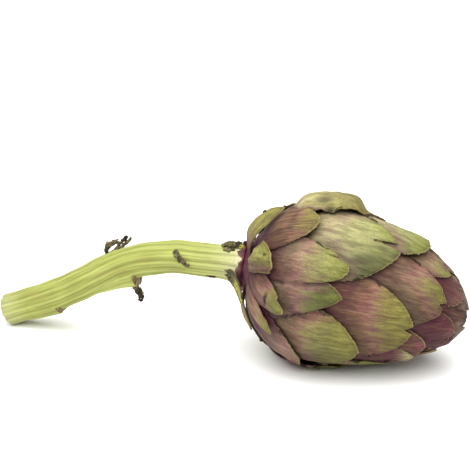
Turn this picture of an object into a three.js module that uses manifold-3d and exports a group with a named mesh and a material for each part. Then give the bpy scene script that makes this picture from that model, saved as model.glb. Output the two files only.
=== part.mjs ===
// A violet artichoke, cut with its stem and lying on its side: one head of overlapping bracts
// and one ribbed stem. Millimetres, +Z up. +X runs along the head from the stem towards the tip,
// -Y is the front. The origin is the middle of the flat spot that the head rests on.
import * as THREE from 'three';
import { mergeVertices } from 'three/addons/utils/BufferGeometryUtils.js';
import Module from 'manifold-3d';

const wasm = await Module();
wasm.setup();

// ---- Driving dimensions ----
const HEAD_LENGTH = 111.5;        // stem joint to tip
const HEAD_RADIUS = 40.5;         // at the widest place
const WIDEST_AT = 0.34;           // share of the head's length
const NOSE_TAPER = 1.45;          // lower is more pointed along the axis
const NOSE_ROUNDNESS = 2.1;       // higher is blunter across
const HEAD_DIP_DEGREES = 8;       // the head's axis falls towards its tip
const NOSE_DROOP = 1.8;           // how far the tip hangs below that straight axis
const DROOP_START = 60;           // where along the axis the droop begins
const JUNCTION = new THREE.Vector3(-41, 0, 45.6);  // middle of the stem joint

const LAYER = 0.06;               // mm a bract sinks under its neighbours per mm back from its tip
const ROOT_DIVE = 5;              // extra mm that a bract's root turns down into the core
const BLADE = 2.4;                // thickness along a bract's middle
const MARGIN = 0.9;               // thickness at its margins
const MARGIN_HUG = 0.55;          // how far the margins bend in
const CORE_DEPTH = 8.5;           // of the core below the bracts' outer form
const CORE_OVERLAP = 1.5;         // how far the bracts' inner faces reach into the core
const CORE_FOOT = 11;             // radius of the core's flat base, round the stem
const FIT_GAP = 0.3;              // between the head and the stem's end
const SLIVER = 0.01;              // smallest surface detail kept after a join

const STEM_RADIUS = 8.1;
const STEM_FLARE = 2.5;           // extra radius where the stem meets the head
const FLARE_LENGTH = 5;
const STEM_RIBS = 12;
const RIB_HEIGHT = 0.3;
const CUT_BEVEL = 2.2;            // worn edge of the cut end

const BRACT_ROWS = [0, 0.2, 0.42, 0.62, 0.78, 0.9, 1];
const BRACT_COLUMNS = [-1, -0.62, -0.25, 0, 0.25, 0.62, 1];
const HIDDEN_ROWS = [0, 0.3, 0.6, 0.82, 1];
const HIDDEN_COLUMNS = [-1, -0.5, 0, 0.5, 1];

// ---- Small helpers ----
const radians = THREE.MathUtils.degToRad;
const clamp = THREE.MathUtils.clamp;

function smooth(x, from, to) {
  return THREE.MathUtils.smoothstep(x, from, to);
}

// Repeatable draw between -1 and 1.
function jitter(seed) {
  const wave = Math.sin(seed * 12.9898) * 43758.5453;
  return 2 * (wave - Math.floor(wave)) - 1;
}

function solidOf(geometry) {
  const bare = geometry.clone();
  bare.deleteAttribute('normal');
  bare.deleteAttribute('uv');
  const merged = mergeVertices(bare, 1e-4);
  return new wasm.Manifold(new wasm.Mesh({
    numProp: 3,
    vertProperties: new Float32Array(merged.attributes.position.array),
    triVerts: new Uint32Array(merged.index.array),
  }));
}

// The outer skin of a solid: sealed pockets are filled, loose scraps are dropped, and slivers that
// the joins leave are merged.
function outerBody(solid) {
  const bodies = solid.decompose();
  const largest = bodies.reduce((best, body) => (body.volume() > best.volume() ? body : best));
  return largest.simplify(SLIVER);
}

function meshOf(solid, name, material) {
  const mesh = solid.getMesh();
  const geometry = new THREE.BufferGeometry();
  geometry.setAttribute('position', new THREE.BufferAttribute(mesh.vertProperties, 3));
  geometry.setIndex(new THREE.BufferAttribute(mesh.triVerts, 1));
  geometry.computeVertexNormals();
  const part = new THREE.Mesh(geometry, material);
  part.name = name;
  return part;
}

// A thin closed slab over a grid. place(along, across, under) gives each point, with under = 0 on
// the outer face and 1 on the inner one. Both faces are split into triangles the same way.
function slab(rows, columns, place) {
  const positions = [];
  for (const under of [0, 1]) {
    for (const along of rows) {
      for (const across of columns) {
        positions.push(...place(along, across, under));
      }
    }
  }
  const wide = columns.length;
  const inner = rows.length * wide;
  const outerFace = [];
  for (let i = 0; i < rows.length - 1; i += 1) {
    for (let j = 0; j < wide - 1; j += 1) {
      const a = i * wide + j;
      outerFace.push([a, a + 1, a + wide + 1], [a, a + wide + 1, a + wide]);
    }
  }
  const triangles = [];
  const rim = new Map();
  for (const [a, b, c] of outerFace) {
    triangles.push(a, b, c, inner + a, inner + c, inner + b);
    for (const [from, to] of [[a, b], [b, c], [c, a]]) {
      if (!rim.delete(`${to} ${from}`)) {
        rim.set(`${from} ${to}`, [from, to]);
      }
    }
  }
  for (const [from, to] of rim.values()) {
    triangles.push(from, inner + to, to, from, inner + from, inner + to);
  }
  const geometry = new THREE.BufferGeometry();
  geometry.setAttribute('position', new THREE.Float32BufferAttribute(positions, 3));
  geometry.setIndex(triangles);
  return geometry;
}

// ---- The head's outer form ----
// Head frame: x along the axis from the stem joint, z up, y to the back. Its half section is a
// quarter ellipse up to the widest place and a fuller curve from there to the tip.
const OUTLINE_STEPS = 200;
const outline = [];
for (let i = 0; i <= OUTLINE_STEPS; i += 1) {
  const angle = (Math.PI / 2) * (i / OUTLINE_STEPS);
  outline.push([HEAD_LENGTH * WIDEST_AT * (1 - Math.cos(angle)), HEAD_RADIUS * Math.sin(angle)]);
}
for (let i = 1; i <= OUTLINE_STEPS; i += 1) {
  const angle = (Math.PI / 2) * (i / OUTLINE_STEPS);
  const forward = Math.sin(angle) ** (2 / NOSE_TAPER);
  const radius = HEAD_RADIUS * Math.max(0, Math.cos(angle)) ** (2 / NOSE_ROUNDNESS);
  outline.push([HEAD_LENGTH * (WIDEST_AT + (1 - WIDEST_AT) * forward), radius]);
}
const outlineArc = [0];
for (let i = 1; i < outline.length; i += 1) {
  const [x0, r0] = outline[i - 1];
  const [x1, r1] = outline[i];
  outlineArc.push(outlineArc[i - 1] + Math.hypot(x1 - x0, r1 - r0));
}
const ARC_LENGTH = outlineArc[outlineArc.length - 1];

function interpolate(value, keys, read) {
  let high = keys.findIndex((key) => key >= value);
  high = high < 0 ? keys.length - 1 : Math.max(high, 1);
  const share = (value - keys[high - 1]) / (keys[high] - keys[high - 1]);
  return read(high - 1) + (read(high) - read(high - 1)) * clamp(share, 0, 1);
}

// [x, radius] on the outline, at a distance measured along it from the stem joint.
function outlineAt(arc) {
  return [
    interpolate(arc, outlineArc, (i) => outline[i][0]),
    interpolate(arc, outlineArc, (i) => outline[i][1]),
  ];
}

const outlineX = outline.map((point) => point[0]);

function arcOfX(x) {
  return interpolate(x, outlineX, (i) => outlineArc[i]);
}

// [along, outward] parts of the outline's direction there.
function outlineDirection(arc) {
  const [x0, r0] = outlineAt(clamp(arc - 0.6, 0.3, ARC_LENGTH - 0.5));
  const [x1, r1] = outlineAt(clamp(arc + 0.6, 0.5, ARC_LENGTH - 0.1));
  const size = Math.hypot(x1 - x0, r1 - r0);
  return [(x1 - x0) / size, (r1 - r0) / size];
}

const headTilt = new THREE.Matrix4().makeRotationY(radians(HEAD_DIP_DEGREES));
headTilt.setPosition(JUNCTION);

// A closed form of the head frame as a solid in its place. Its front droops towards the tip.
function headPiece(geometry) {
  const position = geometry.attributes.position;
  for (let i = 0; i < position.count; i += 1) {
    const past = Math.max(0, (position.getX(i) - DROOP_START) / (HEAD_LENGTH - DROOP_START));
    position.setZ(i, position.getZ(i) - NOSE_DROOP * past ** 1.5);
  }
  return solidOf(geometry.applyMatrix4(headTilt));
}

// ---- Bracts ----
// az: degrees round the axis, 0 at the top and 90 at the front. tip: distance along the axis.
// length and half: the blade's length and half width. lift: how far the whole blade stands proud.
// lean: how far the tip bends out, between leanFrom and leanTo. hump: an arch in the middle.
// slant: degrees that the root is turned from the tip. cup: lower is more curved across.
// tilt: how much further out one margin stands. fold: depth of a crease. swell: how puffy it is.
// wideAt: where the blade is widest. full: how long it stays wide. blunt: lower is a rounder tip.
// notch: depth of a split in the tip. free: share of the blade that is clear of what is under it.
const PLAIN = {
  lift: 0, layer: LAYER, lean: 0.5, leanFrom: 0.55, leanTo: 1, hump: 0, dive: ROOT_DIVE,
  slant: 0, cup: 1, tilt: 0, fold: 0, swell: 0, rootWidth: 0.55, wideAt: 0.5, full: 2,
  blunt: 0.6, notch: 0, notchAt: 0, notchWidth: 0.14, free: 0.2,
};

const SMALL_SCALES = {
  folded: { az: 56, tip: 18, length: 26, half: 8, lift: 1.2, layer: 0.05, lean: 2.6,
    leanFrom: 0, leanTo: 0.8, dive: 1.5, fold: 2.4, rootWidth: 0.8, wideAt: 0.4, full: 1.4,
    blunt: 0.34 },
  upper: { az: 91, tip: 28, length: 35, half: 7.5, lift: 0.9, layer: 0.04, lean: 1.6,
    leanFrom: 0, leanTo: 0.6, dive: 1.5, slant: -20, fold: 1.8, rootWidth: 0.6, full: 1.7,
    notch: 2.5, notchAt: -0.5, notchWidth: 0.2 },
  lower: { az: 112, tip: 24, length: 32, half: 5.5, lift: 0.7, layer: 0.04, lean: 1.6,
    leanFrom: 0, leanTo: 0.6, dive: 1.5, slant: -20, fold: 0.8, rootWidth: 0.6, full: 1.5,
    blunt: 0.7 },
  hanging: { az: 124, tip: 14.5, length: 20, half: 3, lift: 1.6, layer: 0.04, lean: 1.2,
    leanFrom: 0, leanTo: 0.6, dive: 1.5, slant: -14, rootWidth: 0.6, full: 1.6 },
  claw: { az: 4, tip: 17, length: 27, half: 3.9, lift: 0.8, layer: 0, hump: 3.3, dive: 2,
    slant: 32, tilt: -1.9, rootWidth: 0.9, full: 1.5, free: 0.7 },
};

const BASE_RING = {
  shoulder: { az: 24, tip: 35, length: 46, half: 14, lift: 0.3, layer: 0.03, lean: 0.6,
    dive: 2, slant: -4, rootWidth: 0.75, full: 2.2, blunt: 0.62 },
  dried: { az: -11, tip: 55.5, length: 50, half: 15.5, lift: 4.6, lean: -5.5, leanFrom: 0.8,
    dive: 10, cup: 0.42, swell: 1.2, rootWidth: 0.5, full: 2.2, blunt: 0.6 },
  sideHigh: { az: 54.5, tip: 53, length: 62, half: 11.6, lift: 0.4, layer: 0.04, lean: 0.8,
    dive: 2.5, slant: -4, full: 1.6, blunt: 0.5, notch: 3, notchAt: -0.5, notchWidth: 0.2 },
  sideLow: { az: 73, tip: 53, length: 62, half: 18, layer: 0.04, lean: 0.8, dive: 2.5,
    slant: 5, wideAt: 0.4, full: 1.1, blunt: 0.75 },
  lowerBack: { az: 142, tip: 38, length: 54, half: 24, layer: 0.03, dive: 2,
    rootWidth: 0.75, full: 2.5, blunt: 0.5 },
};

const MIDDLE_RING = {
  belly: { az: 116, tip: 64.5, length: 72, half: 22.5, lean: 0.9, dive: 2, full: 3.5,
    blunt: 0.85 },
  crown: { az: 28, tip: 74, length: 60, half: 23.5, lift: 0.3, lean: 0.9, blunt: 0.75,
    notch: 13, notchAt: -0.18, notchWidth: 0.11 },
  sole: { az: 180, tip: 63, length: 64, half: 24, lift: 0.6, layer: 0.02, lean: 0, hump: 1.2,
    dive: 4, rootWidth: 0.6 },
  cheek: { az: 91, tip: 87, length: 66, half: 23, lean: 1, blunt: 0.65, notch: 5,
    notchAt: 0.02, notchWidth: 0.1 },
  crest: { az: -3, tip: 86, length: 60, half: 20, lift: 0.4, lean: 2.2, full: 2.4,
    blunt: 0.42 },
  jowl: { az: 140, tip: 90, length: 60, half: 20, lift: -0.6, layer: 0.07, full: 2.2 },
};

const NOSE = {
  side: { az: 57, tip: 99.5, length: 70, half: 19, lean: 0.9, notch: 3.5, notchAt: 0.05,
    notchWidth: 0.1 },
  top: { az: 7, tip: 99, length: 56, half: 15, lift: -0.9, lean: 0.8 },
  under: { az: 116, tip: 94, length: 54, half: 16, lift: -0.4, lean: 0.7, blunt: 0.55 },
  low: { az: 98, tip: 105.5, length: 56, half: 14, lift: -0.2, lean: 0.6, full: 2.5,
    blunt: 0.5 },
  high: { az: 31, tip: 107, length: 56, half: 14, lift: -0.3, lean: 0 },
  keel: { az: 128, tip: 107, length: 52, half: 13, lift: -0.5, lean: 0 },
  tip: { az: 66, tip: 110.5, length: 50, half: 12, lift: -0.4, lean: 0, full: 2.5, blunt: 0.5 },
  back: { az: -10, tip: 107, length: 52, half: 12, lift: -1.2, lean: 0 },
};

// Rings of bracts that go on round the back and underneath, from the stem to the tip.
const BACK_RINGS = [
  { tip: 23, length: 35, half: 13, lift: 0.9, layer: 0.04, dive: 1.5, rootWidth: 0.8,
    start: 172, end: 314, count: 5 },
  { tip: 44, length: 56, half: 18, lift: 0.5, layer: 0.05, dive: 2.5, rootWidth: 0.75,
    start: 200, end: 334, count: 4 },
  { tip: 63, length: 66, half: 22, lift: 0.2, layer: 0.05, dive: 3, start: 224, end: 312,
    count: 3 },
  { tip: 78, length: 60, half: 22, lean: 0.2, start: 168, end: 314, count: 5 },
  { tip: 92, length: 58, half: 20, lean: 0.3, start: 186, end: 310, count: 4 },
  { tip: 101, length: 54, half: 16, lift: -0.3, lean: 0.1, start: 164, end: 332, count: 5 },
  { tip: 107, length: 50, half: 13, lift: -0.4, lean: 0, start: 184, end: 308, count: 4 },
  { tip: 110.9, length: 46, half: 11, lift: -0.5, lean: 0, start: 20, end: 308, count: 5 },
];
const RING_TURN_JITTER = 4;       // degrees
const RING_TIP_JITTER = 2;        // mm
const RING_BLUNT_JITTER = 0.12;
const RING_CALM_LENGTH = 8;       // rings nearer to the head's tip than this vary less

function backBracts() {
  const bracts = [];
  BACK_RINGS.forEach((ring, ringIndex) => {
    const room = Math.min(1, (HEAD_LENGTH - ring.tip) / RING_CALM_LENGTH);
    for (let i = 0; i < ring.count; i += 1) {
      const seed = 10 * ringIndex + i + 1;
      const az = ring.start + ((ring.end - ring.start) * i) / (ring.count - 1);
      bracts.push({
        ...ring,
        az: az + RING_TURN_JITTER * jitter(seed),
        tip: ring.tip + RING_TIP_JITTER * room * jitter(seed + 0.5),
        blunt: PLAIN.blunt + RING_BLUNT_JITTER * jitter(seed + 0.25),
      });
    }
  });
  return bracts;
}

// Half width as a share of the widest, at a share of the blade's length.
function bladeWidth(bract, reach) {
  const { wideAt, rootWidth, full, blunt } = bract;
  if (reach < wideAt) {
    return rootWidth + (1 - rootWidth) * Math.sin((Math.PI / 2) * (reach / wideAt));
  }
  return (1 - ((reach - wideAt) / (1 - wideAt)) ** full) ** blunt;
}

// How far a bract's folds and margins stand out from its smooth form.
function bractRelief(bract, reach, across) {
  const open = smooth(reach, 0.25, 0.85);
  const puff = bract.swell * Math.cos((Math.PI / 2) * across) * open;
  const hug = MARGIN_HUG * Math.abs(across) ** 3 * open;
  const crease = bract.fold * Math.abs(across - 0.1) * smooth(reach, 0.1, 0.5);
  return puff - hug - crease + bract.tilt * across;
}

// How deep the core lies under the head's outer form.
function coreDepth(arc) {
  return 1 + (CORE_DEPTH - 1) * smooth(arc, 12, 52);
}

// A point of a bract in the head frame. along is 0 at the root and 1 at the tip, across runs from
// -1 to 1 between the margins, and under is 0 on the outer face and 1 on the inner one. The last
// row runs round the tip: it starts on both margins, halfway from the widest place to the tip.
function bractPoint(bract, along, across, under) {
  const { wideAt, full, blunt } = bract;
  const rowStart = wideAt + 0.5 * (1 - wideAt);
  const rowWidth = bladeWidth(bract, rowStart);
  const inside = (1 - (Math.abs(across) * rowWidth) ** (1 / blunt)) ** (1 / full);
  const inNotch = clamp(1 - Math.abs(across - bract.notchAt) / bract.notchWidth, 0, 1);
  const split = (bract.notch / bract.length) * inNotch ** 0.8;
  const reach = along * (wideAt + (1 - wideAt) * inside) * (1 - split * along ** 3);
  const width = bladeWidth(bract, along * rowStart);

  const back = (1 - reach) * bract.length;
  const arc = clamp(arcOfX(bract.tip) - back, 0.5, ARC_LENGTH - 0.3);
  const [x, radius] = outlineAt(arc);
  const [forward, outward] = outlineDirection(arc);
  const az = radians(bract.az + bract.slant * (1 - reach));
  const radial = new THREE.Vector3(0, -Math.sin(az), Math.cos(az));
  const side = new THREE.Vector3(0, -Math.cos(az), -Math.sin(az));
  const normal = radial.clone().multiplyScalar(forward).setX(-outward);

  const height = bract.lift - bract.layer * back + bract.hump * Math.sin(Math.PI * reach)
    + bract.lean * smooth(reach, bract.leanFrom, bract.leanTo) ** 1.3
    - bract.dive * smooth(1 - reach, 0.6, 1) + bractRelief(bract, reach, across);
  const bend = clamp(radius / clamp(forward, 0.25, 1), 12, 60) * bract.cup + height;
  const turn = (across * bract.half * width) / bend;
  const blade = MARGIN + (BLADE - MARGIN) * (1 - across ** 2) * (1 - 0.7 * along ** 4);
  const toCore = coreDepth(arc) + height + CORE_OVERLAP;
  const sunk = smooth(1 - along, bract.free, Math.min(bract.free + 0.3, 1));
  const thickness = clamp(blade + (toCore - blade) * sunk, MARGIN, 0.75 * bend);
  const inner = bend - thickness * under;
  return new THREE.Vector3(x, 0, 0)
    .addScaledVector(radial, radius)
    .addScaledVector(normal, height - thickness * under - inner * (1 - Math.cos(turn)))
    .addScaledVector(side, inner * Math.sin(turn));
}

function bractSolid(bract, rows, plainColumns) {
  const full = { ...PLAIN, ...bract };
  let columns = plainColumns;
  if (full.notch > 0) {
    const { notchAt, notchWidth } = full;
    const kept = plainColumns.filter((w) => Math.abs(w - notchAt) > 1.5 * notchWidth);
    columns = [...kept, notchAt - notchWidth, notchAt, notchAt + notchWidth].sort((a, b) => a - b);
  }
  return headPiece(slab(rows, columns, (along, across, under) => bractPoint(full, along, across, under)));
}

// The receptacle and the packed inner bracts, as one smooth body under the outer ones.
const CORE_STEPS = 14;
const CORE_SIDES = 24;
const CORE_START = CORE_FOOT + 2;  // where its side begins, measured along the head's outline

function coreSolid() {
  const profile = [new THREE.Vector2(0, 0), new THREE.Vector2(CORE_FOOT, 0)];
  for (let i = 1; i < CORE_STEPS; i += 1) {
    const arc = CORE_START + ((ARC_LENGTH - CORE_START) * i) / CORE_STEPS;
    const [x, radius] = outlineAt(arc);
    const [forward, outward] = outlineDirection(arc);
    const depth = coreDepth(arc);
    profile.push(new THREE.Vector2(Math.max(radius - forward * depth, 1), x + outward * depth));
  }
  profile.push(new THREE.Vector2(0, HEAD_LENGTH - CORE_DEPTH));
  const lathe = new THREE.LatheGeometry(profile, CORE_SIDES);
  lathe.rotateZ(-Math.PI / 2);
  return headPiece(lathe);
}

// What lies below the surface that the artichoke rests on, which is cut away from it.
const FLOOR_DEPTH = 60;
const floor = solidOf(new THREE.BoxGeometry(600, 400, FLOOR_DEPTH).translate(0, 0, -FLOOR_DEPTH / 2));

function headSolid() {
  let solid = coreSolid();
  for (const ring of [SMALL_SCALES, BASE_RING, MIDDLE_RING, NOSE]) {
    for (const bract of Object.values(ring)) {
      solid = solid.add(bractSolid(bract, BRACT_ROWS, BRACT_COLUMNS));
    }
  }
  for (const bract of backBracts()) {
    solid = solid.add(bractSolid(bract, HIDDEN_ROWS, HIDDEN_COLUMNS));
  }
  return outerBody(outerBody(solid).subtract(floor));
}

// ---- The stem ----
const headAxis = new THREE.Vector3(1, 0, 0).applyAxisAngle(
  new THREE.Vector3(0, 1, 0),
  radians(HEAD_DIP_DEGREES),
);
const stemStart = JUNCTION.clone().addScaledVector(headAxis, -FIT_GAP);
const STEM_POINTS = [
  [-7, 0.1, 0.6], [-20.5, 0.4, 0.8], [-32.8, 0.8, 1.0], [-45.5, 1.2, -0.9], [-57.8, 1.8, -4.8],
  [-75, 2.6, -14], [-92.7, 3.6, -24], [-110.6, 4.6, -32.5], [-125.5, 5.7, -38.7],
];                                // from the joint, down to where the cut end touches the surface
const stemPath = new THREE.CatmullRomCurve3([
  stemStart,
  ...STEM_POINTS.map((offset) => JUNCTION.clone().add(new THREE.Vector3(...offset))),
]);
const STEM_LENGTH = stemPath.getLength();

// Bases of the cut leaves: each swells along the stem and ends in a step that faces the head.
// at: distance from the head. turn: degrees round the stem, 0 at the top and 90 at the front.
// slant: how many mm nearer to the head the step is for each degree further round.
const LEAF_BASES = [
  { at: 29, turn: 76, height: 2.4, spread: 24, length: 34, slant: 0.13 },
  { at: 57, turn: 158, height: 4.6, spread: 30, length: 24, slant: 0.03 },
  { at: 62, turn: -28, height: 1.6, spread: 22, length: 30, slant: -0.05 },
  { at: 84, turn: -112, height: 2, spread: 24, length: 30, slant: 0.1 },
  { at: 104, turn: 150, height: 1.9, spread: 24, length: 22, slant: 0.05 },
];
const STEP_LENGTH = 1.8;

function stemRadius(distance, turn) {
  const flare = STEM_FLARE * Math.exp(-distance / FLARE_LENGTH);
  let radius = STEM_RADIUS + flare + RIB_HEIGHT * Math.cos(radians(turn) * STEM_RIBS);
  for (const base of LEAF_BASES) {
    const away = ((((turn - base.turn) % 360) + 540) % 360) - 180;
    const step = base.at - base.slant * away;
    const past = (distance - step) / base.length;
    const swell = smooth(distance, step - STEP_LENGTH, step) * clamp(1 - past, 0, 1) ** 1.2;
    radius += base.height * swell * Math.exp(-((away / base.spread) ** 2));
  }
  const toEnd = STEM_LENGTH - distance;
  const worn = clamp(1 - toEnd / CUT_BEVEL, 0, 1);
  return radius - CUT_BEVEL * (1 - Math.sqrt(1 - 0.9 * worn ** 2));
}

// Right-handed set of directions on the stem's path, with front towards -Y.
function stemFrame(distance) {
  const share = clamp(distance / STEM_LENGTH, 0, 1);
  const along = distance < FIT_GAP ? headAxis.clone().negate() : stemPath.getTangentAt(share);
  const up = new THREE.Vector3(0, 0, 1).addScaledVector(along, -along.z).normalize();
  const front = new THREE.Vector3().crossVectors(up, along);
  return { centre: stemPath.getPointAt(share), along, up, front };
}

// Point at a distance down the stem, `out` times its radius from the middle plus `proud` mm.
function stemPoint(distance, turn, out, proud) {
  const { centre, up, front } = stemFrame(distance);
  const radius = stemRadius(distance, turn) * out + proud;
  return centre
    .addScaledVector(up, radius * Math.cos(radians(turn)))
    .addScaledVector(front, radius * Math.sin(radians(turn)));
}

// Distances down the stem of its rings of points: close together at each step and at both ends.
const RING_SPACING = 5.5;

function stemStops() {
  const stops = new Set([0, 2.5, 6, 11, STEM_LENGTH - CUT_BEVEL, STEM_LENGTH - 0.8, STEM_LENGTH]);
  for (const base of LEAF_BASES) {
    for (const steps of [-2, -1, 0, 1]) {
      stops.add(base.at + steps * STEP_LENGTH);
    }
  }
  for (let distance = 17; distance < STEM_LENGTH - CUT_BEVEL - 2; distance += RING_SPACING) {
    if (![...stops].some((stop) => Math.abs(stop - distance) < STEP_LENGTH)) {
      stops.add(distance);
    }
  }
  return [...stops].sort((a, b) => a - b);
}

function stemBody() {
  const distances = stemStops();
  const rings = distances.length - 1;
  const cylinder = new THREE.CylinderGeometry(1, 1, rings, 2 * STEM_RIBS, rings);
  const position = cylinder.attributes.position;
  for (let i = 0; i < position.count; i += 1) {
    const ring = Math.round(rings / 2 - position.getY(i));
    const out = Math.hypot(position.getX(i), position.getZ(i));
    const turn = THREE.MathUtils.radToDeg(Math.atan2(position.getX(i), position.getZ(i)));
    const point = stemPoint(distances[ring], turn, Math.round(out), 0);
    position.setXYZ(i, point.x, point.y, point.z);
  }
  return solidOf(cylinder);
}

// Dry remains of leaves: narrow blades that start inside the stem and bend away from it.
// start, end: distances down the stem. rise: height of the tip. turnEnd: where the tip is turned to.
const DRY_LEAVES = {
  above: { start: 70.5, end: 57.5, turn: -20, turnEnd: -22, half: 2, rise: 5, wave: 0.6 },
  beneath: { start: 54.5, end: 52, turn: 159, turnEnd: 164, half: 1.7, rise: 9.5, wave: 0.6 },
  atJoint: { start: 10.5, end: 2, turn: 0, turnEnd: 10, half: 2.2, rise: 2.2, wave: 0.6 },
  smallLeaf: { start: 8.5, end: 1.2, turn: 100, turnEnd: 110, half: 2.8, rise: 6, wave: 0.2 },
};
const DRY_ROWS = [0, 0.25, 0.5, 0.75, 1];
const DRY_COLUMNS = [-1, 0, 1];
const DRY_SINK = 1.5;             // how deep a dry leaf starts inside the stem
const DRY_THICKNESS = 1.2;

function dryLeafSolid(leaf) {
  return solidOf(slab(DRY_ROWS, DRY_COLUMNS, (along, across, under) => {
    const distance = THREE.MathUtils.lerp(leaf.start, leaf.end, along);
    const width = leaf.half * (1 - 0.6 * along ** 2);
    const spread = THREE.MathUtils.radToDeg((across * width) / STEM_RADIUS);
    const turn = THREE.MathUtils.lerp(leaf.turn, leaf.turnEnd, along) + spread;
    const crease = leaf.wave * Math.sin(7 * along + 2 * across) * along;
    const proud = -DRY_SINK + (leaf.rise + DRY_SINK) * along ** 1.4 + crease + 0.8 * across ** 2;
    return stemPoint(distance, turn, 1, proud - DRY_THICKNESS * under);
  }));
}

function stemSolid() {
  let solid = stemBody();
  for (const leaf of Object.values(DRY_LEAVES)) {
    solid = solid.add(dryLeafSolid(leaf));
  }
  return outerBody(solid.subtract(floor));
}

// ---- Materials and assembly ----
const bractSkin = new THREE.MeshStandardMaterial({ color: 0x8a8a62, roughness: 0.7, metalness: 0 });
const stemSkin = new THREE.MeshStandardMaterial({ color: 0xbcc985, roughness: 0.65, metalness: 0 });

const artichoke = new THREE.Group();
artichoke.name = 'artichoke';
artichoke.add(meshOf(headSolid(), 'head', bractSkin));
artichoke.add(meshOf(stemSolid(), 'stem', stemSkin));

export default artichoke;
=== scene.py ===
"""A violet artichoke, cut with its stem and lying on its side.

Lengths are millimetres and turn into metres where a mesh is made. The head's outline, its bracts and
the stem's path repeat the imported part's values, with finer meshes and thinner blades. The folded
scale's flap, the collar and the dry remains are shaped here alone. +X runs along the head towards
its tip, -Y is the front and the origin is where the head rests.
"""

import math
from collections import namedtuple
from types import SimpleNamespace as Row

import bmesh
import bpy
import numpy as np
from mathutils import Matrix, Vector
from mathutils.kdtree import KDTree


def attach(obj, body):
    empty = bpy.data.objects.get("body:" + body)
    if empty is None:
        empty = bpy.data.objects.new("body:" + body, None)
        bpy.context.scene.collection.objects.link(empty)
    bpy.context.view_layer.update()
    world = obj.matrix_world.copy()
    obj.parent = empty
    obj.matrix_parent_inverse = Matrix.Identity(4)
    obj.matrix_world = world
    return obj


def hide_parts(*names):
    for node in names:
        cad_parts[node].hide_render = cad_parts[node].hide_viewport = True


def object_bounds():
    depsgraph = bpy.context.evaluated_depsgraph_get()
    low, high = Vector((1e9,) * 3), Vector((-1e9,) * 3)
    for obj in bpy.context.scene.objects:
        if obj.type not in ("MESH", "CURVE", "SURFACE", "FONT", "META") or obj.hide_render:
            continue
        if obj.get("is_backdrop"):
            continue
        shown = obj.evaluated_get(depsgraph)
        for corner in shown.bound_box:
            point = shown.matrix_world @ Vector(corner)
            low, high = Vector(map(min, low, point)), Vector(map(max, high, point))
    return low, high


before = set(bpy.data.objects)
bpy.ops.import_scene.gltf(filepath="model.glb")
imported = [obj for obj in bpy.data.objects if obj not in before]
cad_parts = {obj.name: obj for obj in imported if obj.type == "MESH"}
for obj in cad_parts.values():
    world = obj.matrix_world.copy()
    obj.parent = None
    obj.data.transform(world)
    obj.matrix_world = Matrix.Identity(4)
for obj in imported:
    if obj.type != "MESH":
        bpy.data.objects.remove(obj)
CAD_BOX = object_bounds()

MM = 0.001

# ---- Driving dimensions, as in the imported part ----
HEAD_LENGTH = 111.5
HEAD_RADIUS = 40.5
WIDEST_AT = 0.34  # share of the head's length
NOSE_TAPER = 1.45
NOSE_ROUNDNESS = 2.1
HEAD_DIP = math.radians(8)  # the head's axis falls towards its tip
JUNCTION = np.array((-41.0, 0.0, 45.6))
NOSE_DROOP = 1.8  # how far the tip hangs below the head's straight axis
DROOP_START = 60.0

CORE_FOOT = 11.0  # radius of the core where it meets the stem
CORE_DEPTH = 8.5  # how far it lies under the head's outline
CORE_FOOT_DEPTH = 1.0  # the same near the stem
CORE_SINKS = (12, 52)  # mm along the outline between which it gets there

STEM_RADIUS = 8.1
STEM_FLARE = 2.5
FLARE_LENGTH = 5.0
STEM_RIBS = 12
RIB_HEIGHT = 0.3
CUT_BEVEL = 2.2
FIT_GAP = 0.3

# ---- Finish that only the visual model has ----
BLADE = 1.6  # thickness along a bract's middle
MARGIN = 0.8  # thickness at its margins
RIM_BULGE = 0.35  # roundness of its rim, as a share of that
MARGIN_HUG = 0.55  # how far the margins bend in
MIDRIB_HEIGHT, MIDRIB_WIDTH = 0.35, 2.2
WAVE_HEIGHT, WAVE_WIDTH, WAVE_LENGTH = 0.4, 22, 34
DENT_HEIGHT, DENT_WIDTH, DENT_LENGTH = 0.2, 7, 11
VEIN_HEIGHT, VEIN_SPACING = 0.07, 2.6
GAP_DARK, GAP_WIDTH = 0.6, 1.3  # of the painted shade: the dark line beside a margin that lies over a bract
SHADOW_DARK, SHADOW_REACH = 0.25, 5.0  # of the softer shadow beyond it
COVERED_REACH = 7.0  # how far from such a margin a bract is still violet
COVERED_VIOLET = 0.55
UNDERSIDE_LIGHT = 0.3  # painted shade: how light a bract's hidden face is kept, next to its outer one
FAR_AWAY = 99.0
FINE_FURROWS, FURROW_DEPTH = 26, 0.3
STEM_START, COLLAR_START = -1.5, -2.0  # where they begin, inside the head
FLOOR_SOFTNESS = 1.0  # height below which what touches the surface is pressed flat
WELD_DISTANCE = 0.02

# Rows and columns of the meshes.
FRONT_GRID = (72, 65)
BACK_GRID = (40, 37)
NOTCH_COLUMNS = 15
CORE_ROWS, CORE_SIDES = 60, 96
STEM_ROWS, CUT_ROWS, STEM_SIDES = 230, 12, 168
COLLAR_ROWS, COLLAR_SIDES = 26, 180
DRY_ROWS, DRY_COLUMNS = 34, 13
CRUMB_ROWS, CRUMB_COLUMNS = 18, 28


# ---- Small helpers ----
def smooth(x, start, end):
    share = np.clip((x - start) / (end - start), 0, 1)
    return share * share * (3 - 2 * share)


def jitter(seed):
    """Repeatable draw between -1 and 1."""
    wave = math.sin(seed * 12.9898) * 43758.5453
    return 2 * (wave - math.floor(wave)) - 1


def ripple(x, y, seed):
    """Uneven smooth waves between about -1 and 1, for x and y in wavelengths."""
    total = 0
    for k in range(5):
        turn = math.pi * jitter(seed + 0.37 * k)
        pitch = 0.7 + 0.35 * k
        phase = 7 * jitter(seed + 0.53 * k + 0.11)
        total = total + np.sin(2 * math.pi * pitch * (x * math.cos(turn) + y * math.sin(turn)) + phase)
    return total / 2.6


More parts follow.
